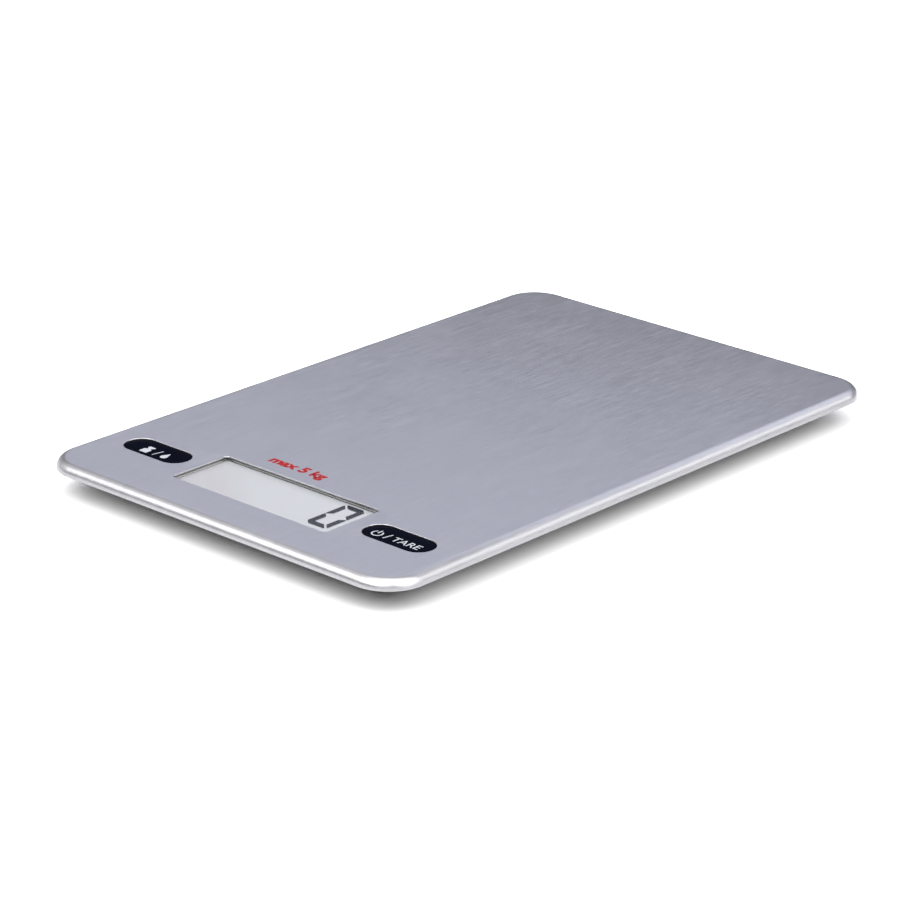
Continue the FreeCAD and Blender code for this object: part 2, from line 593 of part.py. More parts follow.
def foot(x, y):
    """Foot with a retaining flange inside the cover and a snap stem through the tongue."""
    flange_top = WIRE_Z - WIRE_D / 2 - FOOT_LIFT - 0.35
    puck = disc(FOOT_R, PAD_T - PAD_SUNK, flange_top, x, y)
    puck = round_edges(puck, 0.6, level_at(PAD_T - PAD_SUNK))
    flange = disc(FOOT_HOLE_R + 0.7, flange_top - 0.8, flange_top, x, y)
    boss = disc(4.4, flange_top - 0.1, CELL_UNDER, x, y)
    stem = disc(STEM_R, CELL_UNDER - 0.1, CELL_TOP, x, y)
    snap = Part.makeCone(2.1, 1.2, 0.5, V(x, y, CELL_TOP), V(0, 0, 1))
    seat = disc(PAD_R + 0.05, 0, PAD_T, x, y)
    return cut(fused(puck, flange, boss, stem, snap), seat)


def foot_pad(x, y):
    """Rubber pad with one ring groove in its face."""
    pad = disc(PAD_R, 0, PAD_T, x, y)
    pad = round_edges(pad, 0.5, level_at(0))
    groove = disc(7.0, -1, 0.4, x, y).cut(disc(5.8, -1, 0.4, x, y))
    return pad.cut(groove)


def cell_screws():
    """Two screws through each cell's frame into the carrier's posts."""
    return Part.makeCompound([
        cross_recess_screw(1.8, 0.8, 0.9, 2.6, x + sx * CELL_HOLE, y + CELL_HOLE, CELL_UNDER)
        for _, x, y in cell_places() for sx in (-1, 1)
    ])


# ---- Wiring ------------------------------------------------------------------------------------
WIRE_PITCH = 1.05
WIRE_BEND = 12.0
LANE_X, JOG_REAR, JOG_FRONT = 17.0, 58.0, 38.0


def cell_wires(x, y):
    """Three thin wires from a cell's gauge to the circuit board, side by side."""
    side = 1 if x > 0 else -1
    start = y - 7.5
    sideways = abs(x) - LANE_X
    lean = math.tan(math.atan2(sideways, JOG_REAR - JOG_FRONT) / 2)
    wires = []
    for off in (-WIRE_PITCH, 0, WIRE_PITCH):
        shift = -side * off * lean
        lane = side * LANE_X + off
        route = [(x + off, start), (x + off, BOARD_REAR - 3.5)]
        if y > 0:
            jog = [(x + off, JOG_REAR + shift), (lane, JOG_FRONT + shift)]
            route = [route[0], *jog, (lane, BOARD_TAB_REAR - 4.0)]
        wires.append(wire_run(route, WIRE_BEND))
    return Part.makeCompound(wires)


def battery_leads():
    """Two wires from the battery box to the board."""
    ends = (BOX_FRONT, BOARD_TAB_REAR - 3.5)
    return Part.makeCompound([wire_run([(x, y) for y in ends], WIRE_BEND) for x in (-3.0, 3.0)])


def main():
    keep("platform_cover", platform_cover())
    keep("platform_tape", platform_tape())
    keep("carrier_frame", carrier_frame())
    keep("bottom_cover", bottom_cover())
    keep("housing_screws", housing_screws())
    keep("rating_label", rating_label())
    for name, x in key_places():
        keep(f"key_{name}", key_cap(x))
        keep(f"switch_body_{name}", switch_body(x))
        keep(f"switch_plunger_{name}", switch_plunger(x))
    keep("display_lens", display_lens())
    keep("lens_tape", lens_tape())
    for name, shape in lcd_parts().items():
        keep(name, shape)
    keep("lcd_holder", lcd_holder())
    keep("holder_screws", holder_screws())
    keep("main_board", main_board())
    keep("board_screws", board_screws())
    keep("chip_blob", chip_blob())
    keep("chip_resistors", chip_row(4, 1.6, 0.8, 0.5, 40.5, ROW_Y - 8.0, 1.9))
    keep("chip_capacitors", chip_row(3, 2.0, 1.25, 0.9, 40.5, ROW_Y + 1.5, 2.6))
    keep("battery_box", battery_box())
    keep("coin_cell", coin_cell())
    keep("negative_contact", negative_contact())
    keep("positive_contact", positive_contact())
    keep("battery_door", battery_door())
    keep("battery_door_latch", battery_door_latch())
    for name, x, y in cell_places():
        keep(f"load_cell_{name}", load_cell(x, y))
        keep(f"strain_gauge_{name}", strain_gauge(x, y))
        keep(f"foot_{name}", foot(x, y))
        keep(f"foot_pad_{name}", foot_pad(x, y))
        keep(f"cell_wires_{name}", cell_wires(x, y))
    keep("cell_screws", cell_screws())
    keep("battery_leads", battery_leads())


main()
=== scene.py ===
import math

import bmesh
import bpy
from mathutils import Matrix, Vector


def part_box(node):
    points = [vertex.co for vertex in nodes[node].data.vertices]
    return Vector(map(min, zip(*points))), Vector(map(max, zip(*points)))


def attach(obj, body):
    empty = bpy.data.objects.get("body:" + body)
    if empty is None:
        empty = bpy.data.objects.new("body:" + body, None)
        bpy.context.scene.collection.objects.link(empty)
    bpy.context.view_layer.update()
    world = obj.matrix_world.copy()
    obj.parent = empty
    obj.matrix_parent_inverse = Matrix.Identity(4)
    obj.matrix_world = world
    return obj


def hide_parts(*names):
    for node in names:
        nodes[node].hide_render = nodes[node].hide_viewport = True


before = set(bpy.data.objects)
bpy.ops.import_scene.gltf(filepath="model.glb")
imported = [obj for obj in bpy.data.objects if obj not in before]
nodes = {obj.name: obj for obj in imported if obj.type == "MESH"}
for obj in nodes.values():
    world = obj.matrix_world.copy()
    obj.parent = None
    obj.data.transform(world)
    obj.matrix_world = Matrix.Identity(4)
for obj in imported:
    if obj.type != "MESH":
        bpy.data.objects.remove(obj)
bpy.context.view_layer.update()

MM = 0.001

# ---- Carrier and the other moulded inner parts ---------------------------------------------------
# The carrier is a flat frame of black ABS that the steel is taped to. The battery box and the white
# frame round the display glass are separate mouldings. All come from textured tools, so they are
# matt, with a fine even grain.


def new_material(name):
    """A new material with its node tree, its shader and a socket of object coordinates."""
    made = bpy.data.materials.new(name)
    made.use_nodes = True
    tree = made.node_tree
    shader = tree.nodes["Principled BSDF"]
    place = tree.nodes.new("ShaderNodeTexCoord").outputs["Object"]
    return made, tree, shader, place


def grain(tree, place, size, detail=2.0, stretch=(1.0, 1.0, 1.0)):
    """Noise whose blobs are about size metres across, longer along an axis whose stretch is over 1."""
    mapping = tree.nodes.new("ShaderNodeMapping")
    mapping.inputs["Scale"].default_value = [1.0 / (size * s) for s in stretch]
    noise = tree.nodes.new("ShaderNodeTexNoise")
    noise.inputs["Scale"].default_value = 1.0
    noise.inputs["Detail"].default_value = detail
    tree.links.new(place, mapping.inputs["Vector"])
    tree.links.new(mapping.outputs["Vector"], noise.inputs["Vector"])
    return noise.outputs["Fac"]


def spread(tree, value, low, high, start=0.3, end=0.7):
    """Maps a noise value to a range from low to high."""
    ranged = tree.nodes.new("ShaderNodeMapRange")
    for socket, number in (("From Min", start), ("From Max", end), ("To Min", low), ("To Max", high)):
        ranged.inputs[socket].default_value = number
    tree.links.new(value, ranged.inputs["Value"])
    return ranged.outputs["Result"]


def tint(tree, value, dark, light):
    """Mixes two colours by a noise value."""
    mix = tree.nodes.new("ShaderNodeMix")
    mix.data_type = "RGBA"
    mix.inputs["A"].default_value = (*dark, 1.0)
    mix.inputs["B"].default_value = (*light, 1.0)
    tree.links.new(value, mix.inputs["Factor"])
    return mix.outputs["Result"]


def relief(tree, shader, height, depth, strength=1.0):
    """Turns a height value into surface relief, depth metres deep."""
    bump = tree.nodes.new("ShaderNodeBump")
    bump.inputs["Distance"].default_value = depth
    bump.inputs["Strength"].default_value = strength
    tree.links.new(height, bump.inputs["Height"])
    tree.links.new(bump.outputs["Normal"], shader.inputs["Normal"])


def shade(colour, by):
    """The same colour, lighter or darker."""
    return tuple(min(1.0, c * by) for c in colour)


def moulded(name, colour, rough=0.5, texture=0.35 * MM, depth=0.02 * MM, specular=0.35):
    """Injection-moulded plastic: fine tool texture, with faint flow marks in its tone."""
    made, tree, shader, place = new_material(name)
    flow = spread(tree, grain(tree, place, 14 * MM, 3.0), 0.0, 1.0)
    tree.links.new(tint(tree, flow, shade(colour, 0.9), shade(colour, 1.12)), shader.inputs["Base Color"])
    fine = grain(tree, place, texture, 3.0)
    tree.links.new(spread(tree, fine, rough - 0.07, rough + 0.07), shader.inputs["Roughness"])
    shader.inputs["Specular IOR Level"].default_value = specular
    relief(tree, shader, fine, depth)
    return made


def dress(finish, *names):
    """Gives CAD pieces a finish."""
    for name in names:
        nodes[name].data.materials.clear()
        nodes[name].data.materials.append(finish)


black_abs = moulded("black_abs", (0.028, 0.028, 0.031))
white_abs = moulded("white_abs", (0.62, 0.62, 0.60), texture=0.5 * MM)
dress(black_abs, "carrier_frame", "battery_box")
dress(white_abs, "lcd_holder", "switch_plunger_unit", "switch_plunger_tare")

# ---- Tapes ---------------------------------------------------------------------------------------
# Double-sided black foam tape bonds the steel to the carrier, and a thin ring of the same tape holds
# the lens. Both are die-cut from sheet.


def foam_tape(name, colour):
    """Foam cut open at the edge: fine dark cells with a dry surface."""
    made, tree, shader, place = new_material(name)
    cells = grain(tree, place, 0.12 * MM, 4.0)
    tree.links.new(tint(tree, cells, shade(colour, 0.7), shade(colour, 1.3)), shader.inputs["Base Color"])
    shader.inputs["Roughness"].default_value = 0.9
    relief(tree, shader, cells, 0.04 * MM)
    return made


dress(foam_tape("black_foam_tape", (0.02, 0.02, 0.021)), "platform_tape", "lens_tape")

# ---- Load cells, gauges and their screws ---------------------------------------------------------
# Each corner hangs on a punched plate of spring steel. A foil gauge in amber film is bonded across
# the root of its tongue, and two zinc-plated screws hold the plate to the carrier.


def rolled_metal(name, colour, rough=0.3, length=6.0):
    """Plain sheet or turned metal with a fine directional grain and faint stains."""
    made, tree, shader, place = new_material(name)
    lines = grain(tree, place, 0.15 * MM, 3.0, stretch=(1.0, length, 1.0))
    stains = spread(tree, grain(tree, place, 3 * MM, 3.0), 0.0, 1.0)
    tree.links.new(tint(tree, stains, shade(colour, 0.86), shade(colour, 1.06)), shader.inputs["Base Color"])
    tree.links.new(spread(tree, lines, rough - 0.08, rough + 0.1), shader.inputs["Roughness"])
    shader.inputs["Metallic"].default_value = 1.0
    relief(tree, shader, lines, 0.006 * MM)
    return made


def etched_foil(name):
    """Amber film with the thin dark lines of the gauge's grid."""
    made, tree, shader, place = new_material(name)
    wave = tree.nodes.new("ShaderNodeTexWave")
    wave.inputs["Scale"].default_value = 1.0 / (1.6 * MM)
    tree.links.new(place, wave.inputs["Vector"])
    lines = spread(tree, wave.outputs["Fac"], 0.0, 1.0, 0.45, 0.6)
    tree.links.new(tint(tree, lines, (0.55, 0.30, 0.08), (0.20, 0.12, 0.07)), shader.inputs["Base Color"])
    tree.links.new(spread(tree, lines, 0.25, 0.45, 0.0, 1.0), shader.inputs["Roughness"])
    return made


CORNERS = ("front_left", "front_right", "rear_left", "rear_right")
spring_steel = rolled_metal("spring_steel", (0.55, 0.56, 0.57))
zinc_plate = rolled_metal("zinc_plate", (0.60, 0.62, 0.66), rough=0.28, length=1.0)
gauge_foil = etched_foil("gauge_foil")
for corner in CORNERS:
    dress(spring_steel, f"load_cell_{corner}")
    dress(gauge_foil, f"strain_gauge_{corner}")
dress(zinc_plate, "cell_screws")

# ---- Feet and their pads -------------------------------------------------------------------------
# A foot is a round ABS puck with a flange inside the cover, and a snap stem through its
# load cell. A ribbed rubber pad is glued into its face, and that pad is what stands on the table.


def lathe(name, profile, centre, steps=96):
    """A solid turned about a vertical line through centre, from a closed profile of (radius, height)."""
    b = bmesh.new()
    rings = []
    for r, z in profile:
        if r < 1e-9:
            rings.append([b.verts.new((centre[0], centre[1], z))])
            continue
        turn = [2 * math.pi * n / steps for n in range(steps)]
        points = [(centre[0] + r * math.cos(a), centre[1] + r * math.sin(a), z) for a in turn]
        rings.append([b.verts.new(point) for point in points])
    for lower, upper in zip(rings, rings[1:]):
        for n in range(steps):
            m = (n + 1) % steps
            corners = [lower[n % len(lower)], lower[m % len(lower)]]
            corners += [upper[m % len(upper)], upper[n % len(upper)]]
            corners = [v for i, v in enumerate(corners) if v not in corners[:i]]
            if len(corners) > 2:
                b.faces.new(corners)
    return as_piece(name, b)


def as_piece(name, b, crease=38.0):
    """Makes a mesh object of b, faces outwards, with round faces smooth and edges sharper than crease."""
    bmesh.ops.recalc_face_normals(b, faces=b.faces)
    mesh = bpy.data.meshes.new(name)
    b.to_mesh(mesh)
    b.free()
    mesh.shade_smooth()
    mesh.set_sharp_from_angle(angle=math.radians(crease))
    piece = bpy.data.objects.new(name, mesh)
    bpy.context.scene.collection.objects.link(piece)
    return piece


def apply_modifiers(piece):
    """Turns what the modifiers make into the piece's own mesh."""
    graph = bpy.context.evaluated_depsgraph_get()
    graph.update()
    made = bpy.data.meshes.new_from_object(piece.evaluated_get(graph), depsgraph=graph)
    piece.modifiers.clear()
    piece.data = made
    return piece


def eased(profile, radius, steps=3):
    """The same closed profile with its corners away from the axis rounded."""
    out = []
    for n, here in enumerate(profile):
        before, after = profile[n - 1], profile[(n + 1) % len(profile)]
        if here[0] < 1e-9:
            out.append(here)
            continue
        p, back, on = Vector(here), Vector(before) - Vector(here), Vector(after) - Vector(here)
        r = min(radius, back.length * 0.45, on.length * 0.45)
        start, end = p + back.normalized() * r, p + on.normalized() * r
        for k in range(steps + 1):
            t = k / steps
            q = start * (1 - t) ** 2 + p * 2 * t * (1 - t) + end * t ** 2
            out.append((q.x, q.y))
    return out


def moulded_rubber(name, colour):
    """Matt rubber: fine pebbled face, slightly dusty, with lighter scuffs."""
    made, tree, shader, place = new_material(name)
    pebble = grain(tree, place, 0.3 * MM, 3.0)
    dust = spread(tree, grain(tree, place, 5 * MM, 4.0), 0.0, 1.0, 0.4, 0.8)
    tree.links.new(tint(tree, dust, colour, shade(colour, 1.9)), shader.inputs["Base Color"])
    tree.links.new(spread(tree, pebble, 0.7, 0.9), shader.inputs["Roughness"])
    shader.inputs["Specular IOR Level"].default_value = 0.25
    relief(tree, shader, pebble, 0.03 * MM)
    return made


foot_finish = moulded("foot_black_abs", (0.022, 0.022, 0.024), rough=0.42)
pad_rubber = moulded_rubber("grey_black_rubber", (0.028, 0.028, 0.030))
PAD_GROOVES = ((2.6 * MM, 3.2 * MM), (5.8 * MM, 7.0 * MM))
for corner in CORNERS:
    low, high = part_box(f"foot_pad_{corner}")
    middle = (low + high) / 2
    pad_r, pad_top, groove = (high.x - low.x) / 2, high.z, 0.4 * MM
    face = [(0.0, low.z)]
    for inner, outer in PAD_GROOVES:
        face += [(inner, low.z), (inner, low.z + groove), (outer, low.z + groove), (outer, low.z)]
    face += [(pad_r, low.z), (pad_r, pad_top), (0.0, pad_top)]
    pad = lathe(f"rubber_pad_{corner}", eased(face, 0.45 * MM), middle)
    pad.data.materials.append(pad_rubber)
    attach(pad, "root")
    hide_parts(f"foot_pad_{corner}")

    foot_low, foot_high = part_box(f"foot_{corner}")
    flange_r = (foot_high.x - foot_low.x) / 2
    puck_r, boss_r, stem_r, snap_r = 10.5 * MM, 4.4 * MM, 1.5 * MM, 2.1 * MM
    flange_top, boss_top, cell_top = 5.6 * MM, 7.2 * MM, 8.4 * MM
    lip = pad_r + 0.05 * MM
    turned = [
        (0.0, pad_top), (lip, pad_top), (lip, foot_low.z), (puck_r, foot_low.z),
        (puck_r, flange_top - 0.8 * MM), (flange_r, flange_top - 0.8 * MM), (flange_r, flange_top),
        (boss_r, flange_top), (boss_r, boss_top), (stem_r, boss_top), (stem_r, cell_top),
        (snap_r, cell_top), (1.2 * MM, foot_high.z), (0.0, foot_high.z),
    ]
    foot = lathe(f"foot_puck_{corner}", eased(turned, 0.3 * MM), middle)
    foot.data.materials.append(foot_finish)
    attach(foot, "root")
    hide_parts(f"foot_{corner}")

# ---- Wiring --------------------------------------------------------------------------------------
# Three thin PVC-covered wires run from each gauge to the board, and two from the battery box. They
# are smooth, and each group is one colour.


def pvc_wire(name, colour):
    """Smooth PVC covering, slightly worn in places."""
    made, tree, shader, place = new_material(name)
    wear = spread(tree, grain(tree, place, 2.5 * MM, 3.0), 0.0, 1.0)
    tree.links.new(tint(tree, wear, shade(colour, 0.85), shade(colour, 1.15)), shader.inputs["Base Color"])
    tree.links.new(spread(tree, wear, 0.3, 0.42, 0.0, 1.0), shader.inputs["Roughness"])
    return made


dress(pvc_wire("white_pvc", (0.6, 0.6, 0.58)), *(f"cell_wires_{corner}" for corner in CORNERS))
dress(pvc_wire("red_pvc", (0.45, 0.02, 0.02)), "battery_leads")

# ---- Circuit board and what is soldered to it ----------------------------------------------------
# Green fibreglass board with small chip parts, an epoxy blob over the bare die, and a low tact
# switch under each key.


def solder_resist(name):
    """Green lacquer over a woven glass board, with the copper showing faintly as lighter lines."""
    made, tree, shader, place = new_material(name)
    weave = tree.nodes.new("ShaderNodeTexBrick")
    weave.inputs["Scale"].default_value = 1.0 / (9 * MM)
    weave.inputs["Mortar Size"].default_value = 0.03
    weave.inputs["Color1"].default_value = (0.012, 0.11, 0.035, 1.0)
    weave.inputs["Color2"].default_value = (0.010, 0.09, 0.030, 1.0)
    weave.inputs["Mortar"].default_value = (0.03, 0.21, 0.07, 1.0)
    tree.links.new(place, weave.inputs["Vector"])
    tree.links.new(weave.outputs["Color"], shader.inputs["Base Color"])
    fibres = grain(tree, place, 0.4 * MM, 2.0)
    tree.links.new(spread(tree, fibres, 0.25, 0.4), shader.inputs["Roughness"])
    relief(tree, shader, weave.outputs["Fac"], 0.02 * MM, 0.5)
    return made


def tinned_chip(name, body):
    """Ceramic chip: its two ends are tinned, which shows as pale speckle at this size."""
    made, tree, shader, place = new_material(name)
    speckle = spread(tree, grain(tree, place, 0.8 * MM, 1.0), 0.0, 1.0, 0.5, 0.56)
    tree.links.new(tint(tree, speckle, body, (0.6, 0.6, 0.6)), shader.inputs["Base Color"])
    tree.links.new(spread(tree, speckle, 0.5, 0.3, 0.0, 1.0), shader.inputs["Roughness"])
    return made


dress(solder_resist("green_board"), "main_board")
dress(moulded("black_epoxy", (0.012, 0.012, 0.013), rough=0.22, texture=2 * MM), "chip_blob")
dress(moulded("switch_black", (0.02, 0.02, 0.02), rough=0.35), "switch_body_unit", "switch_body_tare")
dress(tinned_chip("resistor_ceramic", (0.015, 0.015, 0.016)), "chip_resistors")
dress(tinned_chip("capacitor_ceramic", (0.30, 0.19, 0.10)), "chip_capacitors")
dress(zinc_plate, "board_screws", "holder_screws")

# ---- Display -------------------------------------------------------------------------------------
# A reflective liquid crystal display: two sheets of glass between a polariser and a reflector, on
# conductive rubber strips. It shows a single zero at the right, whose segments have mitred ends, and
# a grey copy of the segments, shifted a little, is a painted shadow on the reflector behind them.


def display_film(name, left, right):
    """Light grey optical film, painted darker to one side of a soft diagonal, a painted reflection."""
    made, tree, shader, place = new_material(name)
    across = tree.nodes.new("ShaderNodeVectorMath")
    across.operation = "DOT_PRODUCT"
    across.inputs[1].default_value = (0.592, 0.806, 0.0)
    tree.links.new(place, across.inputs[0])
    # painted reflection: the film is darker to the left of this soft diagonal and lighter to its right
    edge, softness = -78.0 * MM, 4.0 * MM
    side = spread(tree, across.outputs["Value"], 0.0, 1.0, edge - softness, edge + softness)
    tree.links.new(tint(tree, side, left, right), shader.inputs["Base Color"])
    sparkle = grain(tree, place, 0.08 * MM, 2.0)
    tree.links.new(spread(tree, sparkle, 0.5, 0.7), shader.inputs["Roughness"])
    shader.inputs["Specular IOR Level"].default_value = 0.2
    return made


def clear(name, index, tint_colour=(1.0, 1.0, 1.0)):
    """Clear glass or acrylic with a faint haze of handling marks."""
    made, tree, shader, place = new_material(name)
    haze = grain(tree, place, 9 * MM, 4.0)
    tree.links.new(spread(tree, haze, 0.0, 0.012), shader.inputs["Roughness"])
    shader.inputs["Base Color"].default_value = (*tint_colour, 1.0)
    shader.inputs["Transmission Weight"].default_value = 1.0
    shader.inputs["IOR"].default_value = index
    return made


def coated_lens(name):
    """Thin coated acrylic: it lets the display through, and reflects a little more at a low angle."""
    made, tree, shader, place = new_material(name)
    haze = grain(tree, place, 9 * MM, 4.0)
    tree.links.new(spread(tree, haze, 0.03, 0.09), shader.inputs["Roughness"])
    shader.inputs["Metallic"].default_value = 1.0
    smear = spread(tree, haze, 0.0, 1.0)
    tree.links.new(tint(tree, smear, (0.80, 0.82, 0.86), (1.0, 1.0, 1.0)), shader.inputs["Base Color"])
    see_through = tree.nodes.new("ShaderNodeBsdfTransparent")
    angle = tree.nodes.new("ShaderNodeLayerWeight")
    angle.inputs["Blend"].default_value = 0.5
    mirror = spread(tree, angle.outputs["Facing"], 0.01, 0.09, 0.4, 1.0)
    both = tree.nodes.new("ShaderNodeMixShader")
    tree.links.new(mirror, both.inputs["Fac"])
    tree.links.new(see_through.outputs["BSDF"], both.inputs[1])
    tree.links.new(shader.outputs["BSDF"], both.inputs[2])
    tree.links.new(both.outputs["Shader"], tree.nodes["Material Output"].inputs["Surface"])
    return made


lcd_film = display_film("lcd_film", (0.285, 0.277, 0.293), (0.300, 0.307, 0.320))
dress(lcd_film, "lcd_polariser", "lcd_reflector")
dress(clear("display_glass", 1.52, (0.93, 0.97, 0.95)), "lcd_front_glass", "lcd_rear_glass")
dress(moulded_rubber("zebra_silicone", (0.12, 0.12, 0.13)), "zebra_strips")
dress(coated_lens("lens_acrylic"), "display_lens")
nodes["display_lens"].visible_shadow = False

DIGIT_CENTRE = Vector((22.9 * MM, -83.2 * MM))
SHADOW_SHIFT = Vector((0.28 * MM, -0.22 * MM))
SEGMENT_PAIR = (
    ((-3.4, 8.85), (2.6, 8.85), (4.25, 7.3), (4.25, 0.45), (3.95, 0.15),
     (2.15, 1.9), (2.15, 6.5), (-1.55, 6.5), (-3.4, 8.3)),
    ((-4.25, 7.65), (-3.9, 7.9), (-2.2, 6.25), (-2.2, 1.3), (-3.85, -0.05), (-4.25, 0.25)),
)
INK_T = 0.012 * MM
INK_GAP = 0.002 * MM
CAPITAL_PER_SIZE = 0.729


def flat_shape(b, outline, z0, z1, centre=(0.0, 0.0)):
    """Adds a thin plate with that outline of (x, y) points, in metres, between two heights."""
    lower = [b.verts.new((centre[0] + x, centre[1] + y, z0)) for x, y in outline]
    upper = [b.verts.new((v.co.x, v.co.y, z1)) for v in lower]
    b.faces.new(lower)
    b.faces.new(upper)
    for n in range(len(outline)):
        m = (n + 1) % len(outline)
        b.faces.new((lower[n], lower[m], upper[m], upper[n]))


def digit(name, z, shift):
    """The zero: two shapes, in millimetres from its centre, that also appear turned half round."""
    b = bmesh.new()
    for shape in SEGMENT_PAIR:
        for turn in (1, -1):
            outline = [(turn * x * MM, turn * y * MM) for x, y in shape]
            flat_shape(b, outline, z, z + INK_T, DIGIT_CENTRE + shift)
    return as_piece(name, b)


def liquid_crystal(name, colour, rough):
    """The dark of a switched segment, or the grey of its painted shadow, with a slightly uneven tone."""
    made, tree, shader, place = new_material(name)
    uneven = spread(tree, grain(tree, place, 1.5 * MM, 2.0), 0.0, 1.0)
    tree.links.new(tint(tree, uneven, shade(colour, 0.85), shade(colour, 1.15)), shader.inputs["Base Color"])
    shader.inputs["Roughness"].default_value = rough
    shader.inputs["Specular IOR Level"].default_value = 0.1
    return made


film_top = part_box("lcd_polariser")[1].z
# painted shadow: a grey copy of the zero, shifted a little, lies just above the film under the dark segments
segment_shadow = digit("segment_shadow", film_top + 0.004 * MM, SHADOW_SHIFT)
segment_shadow.data.materials.append(liquid_crystal("lcd_shadow", (0.225, 0.230, 0.240), 0.6))
segments = digit("display_segments", film_top + 0.022 * MM, Vector((0.0, 0.0)))
segments.data.materials.append(liquid_crystal("lcd_dark", (0.004, 0.005, 0.006), 0.5))
for piece in (segment_shadow, segments):
    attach(piece, "root")

# ---- Keys ----------------------------------------------------------------------------------------
# Each key is one glossy black moulding: a pill-shaped cap on a wider flange, with guide pins and a
# stem below. The legends are printed on the face in white ink.


def refined(node, name, crease=38.0):
    """A copy of a CAD piece with its loose triangles joined, so that its round faces shade smoothly."""
    b = bmesh.new()
    b.from_mesh(nodes[node].data)
    bmesh.ops.remove_doubles(b, verts=b.verts, dist=1e-6)
    bmesh.ops.dissolve_limit(b, angle_limit=math.radians(0.4), verts=b.verts, edges=b.edges)
    bmesh.ops.triangulate(b, faces=[f for f in b.faces if len(f.verts) > 4])
    piece = as_piece(name, b, crease)
    weigh = piece.modifiers.new("weigh", "WEIGHTED_NORMAL")
    weigh.keep_sharp = True
    return apply_modifiers(piece)


def glossy(name, colour, rough=0.25, specular=0.05):
    """Polished plastic with the faintest ripple and a few soft finger marks."""
    made, tree, shader, place = new_material(name)
    marks = spread(tree, grain(tree, place, 6 * MM, 4.0), 0.0, 1.0, 0.45, 0.75)
    tree.links.new(tint(tree, marks, colour, shade(colour, 1.35)), shader.inputs["Base Color"])
    tree.links.new(spread(tree, marks, rough, rough + 0.12, 0.0, 1.0), shader.inputs["Roughness"])
    shader.inputs["Specular IOR Level"].default_value = specular
    relief(tree, shader, grain(tree, place, 2 * MM), 0.002 * MM)
    return made


def printed_ink(name, colour):
    """Screen-printed ink: slightly uneven, with a satin surface."""
    made, tree, shader, place = new_material(name)
    cover = spread(tree, grain(tree, place, 0.25 * MM, 3.0), 0.0, 1.0)
    tree.links.new(tint(tree, cover, shade(colour, 0.9), colour), shader.inputs["Base Color"])
    tree.links.new(spread(tree, cover, 0.45, 0.6, 0.0, 1.0), shader.inputs["Roughness"])
    shader.inputs["Specular IOR Level"].default_value = 0.2
    return made


def arc_points(centre, radius, start, end, steps):
    """Points along an arc, angles in degrees."""
    turns = [math.radians(start + (end - start) * n / steps) for n in range(steps + 1)]
    return [(centre[0] + radius * math.cos(a), centre[1] + radius * math.sin(a)) for a in turns]


def lettering(name, words, height, z, left, base, bold=0.0, wide=1.0):
    """Words as a thin plate of ink: capital height, the left end and the base line in metres."""
    curve = bpy.data.curves.new(name, "FONT")
    curve.body = words
    curve.size = height / CAPITAL_PER_SIZE
    curve.offset = bold
    curve.extrude = INK_T / 2
    curve.resolution_u = 4
    text = bpy.data.objects.new(name, curve)
    bpy.context.scene.collection.objects.link(text)
    graph = bpy.context.evaluated_depsgraph_get()
    graph.update()
    mesh = bpy.data.meshes.new_from_object(text.evaluated_get(graph), depsgraph=graph)
    bpy.data.objects.remove(text)
    first = min(v.co.x for v in mesh.vertices)
    for v in mesh.vertices:
        v.co = (left + (v.co.x - first) * wide, base + v.co.y, z + INK_T / 2 + v.co.z)
    b = bmesh.new()
    b.from_mesh(mesh)
    bpy.data.meshes.remove(mesh)
    bmesh.ops.remove_doubles(b, verts=b.verts, dist=1e-7)
    return b


key_plastic = glossy("key_plastic", (0.0010, 0.0016, 0.0046), specular=0.004)
key_ink = printed_ink("white_ink", (0.36, 0.37, 0.40))
for name in ("unit", "tare"):
    key = refined(f"key_{name}", f"{name}_key", crease=50.0)
    key.data.materials.clear()
    key.data.materials.append(key_plastic)
    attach(key, f"key_{name}")
    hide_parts(f"key_{name}")

key_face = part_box("key_unit")[1].z
ink_low = key_face + INK_GAP
ink_high = ink_low + INK_T


def slash(b, x, y, tall, lean, wide):
    """A leaning stroke with its middle at x, y."""
    half = [(-lean - wide, -tall), (-lean + wide, -tall), (lean + wide, tall), (lean - wide, tall)]
    flat_shape(b, [(dx / 2, dy / 2) for dx, dy in half], ink_low, ink_high, (x, y))


def weight_mark(b, x, y):
    """A kitchen weight: a broad foot that narrows to a neck, under a bar-shaped knob."""
    right = ((1.55, -2.3), (1.55, 0.1), (0.75, 0.55), (0.62, 1.0), (1.3, 1.35), (1.3, 2.3))
    outline = [(dx * MM, dy * MM) for dx, dy in right]
    outline += [(-dx, dy) for dx, dy in reversed(outline)]
    flat_shape(b, outline, ink_low, ink_high, (x, y))


def drop_mark(b, x, y):
    """A drop: a round belly, drawn up to a point."""
    belly = arc_points((0.0, -0.85 * MM), 1.2 * MM, 150.0, 390.0, 20)
    flat_shape(b, belly + [(0.0, 2.05 * MM)], ink_low, ink_high, (x, y))


def power_mark(b, x, y):
    """An open ring with a bar in its gap."""
    outer, inner, gap = 1.9 * MM, 1.42 * MM, 32.0
    ring = arc_points((0.0, 0.0), outer, 90 + gap, 450 - gap, 36)
    ring += list(reversed(arc_points((0.0, 0.0), inner, 90 + gap, 450 - gap, 36)))
    flat_shape(b, ring, ink_low, ink_high, (x, y))
    half, low, high = 0.24 * MM, 0.2 * MM, 2.35 * MM
    flat_shape(b, [(-half, low), (half, low), (half, high), (-half, high)], ink_low, ink_high, (x, y))


b = bmesh.new()
unit_row = -85.9 * MM
weight_mark(b, -53.55 * MM, unit_row)
slash(b, -49.15 * MM, unit_row, 4.1 * MM, 0.8 * MM, 0.4 * MM)
drop_mark(b, -45.6 * MM, unit_row)
unit_legend = as_piece("unit_legend", b)

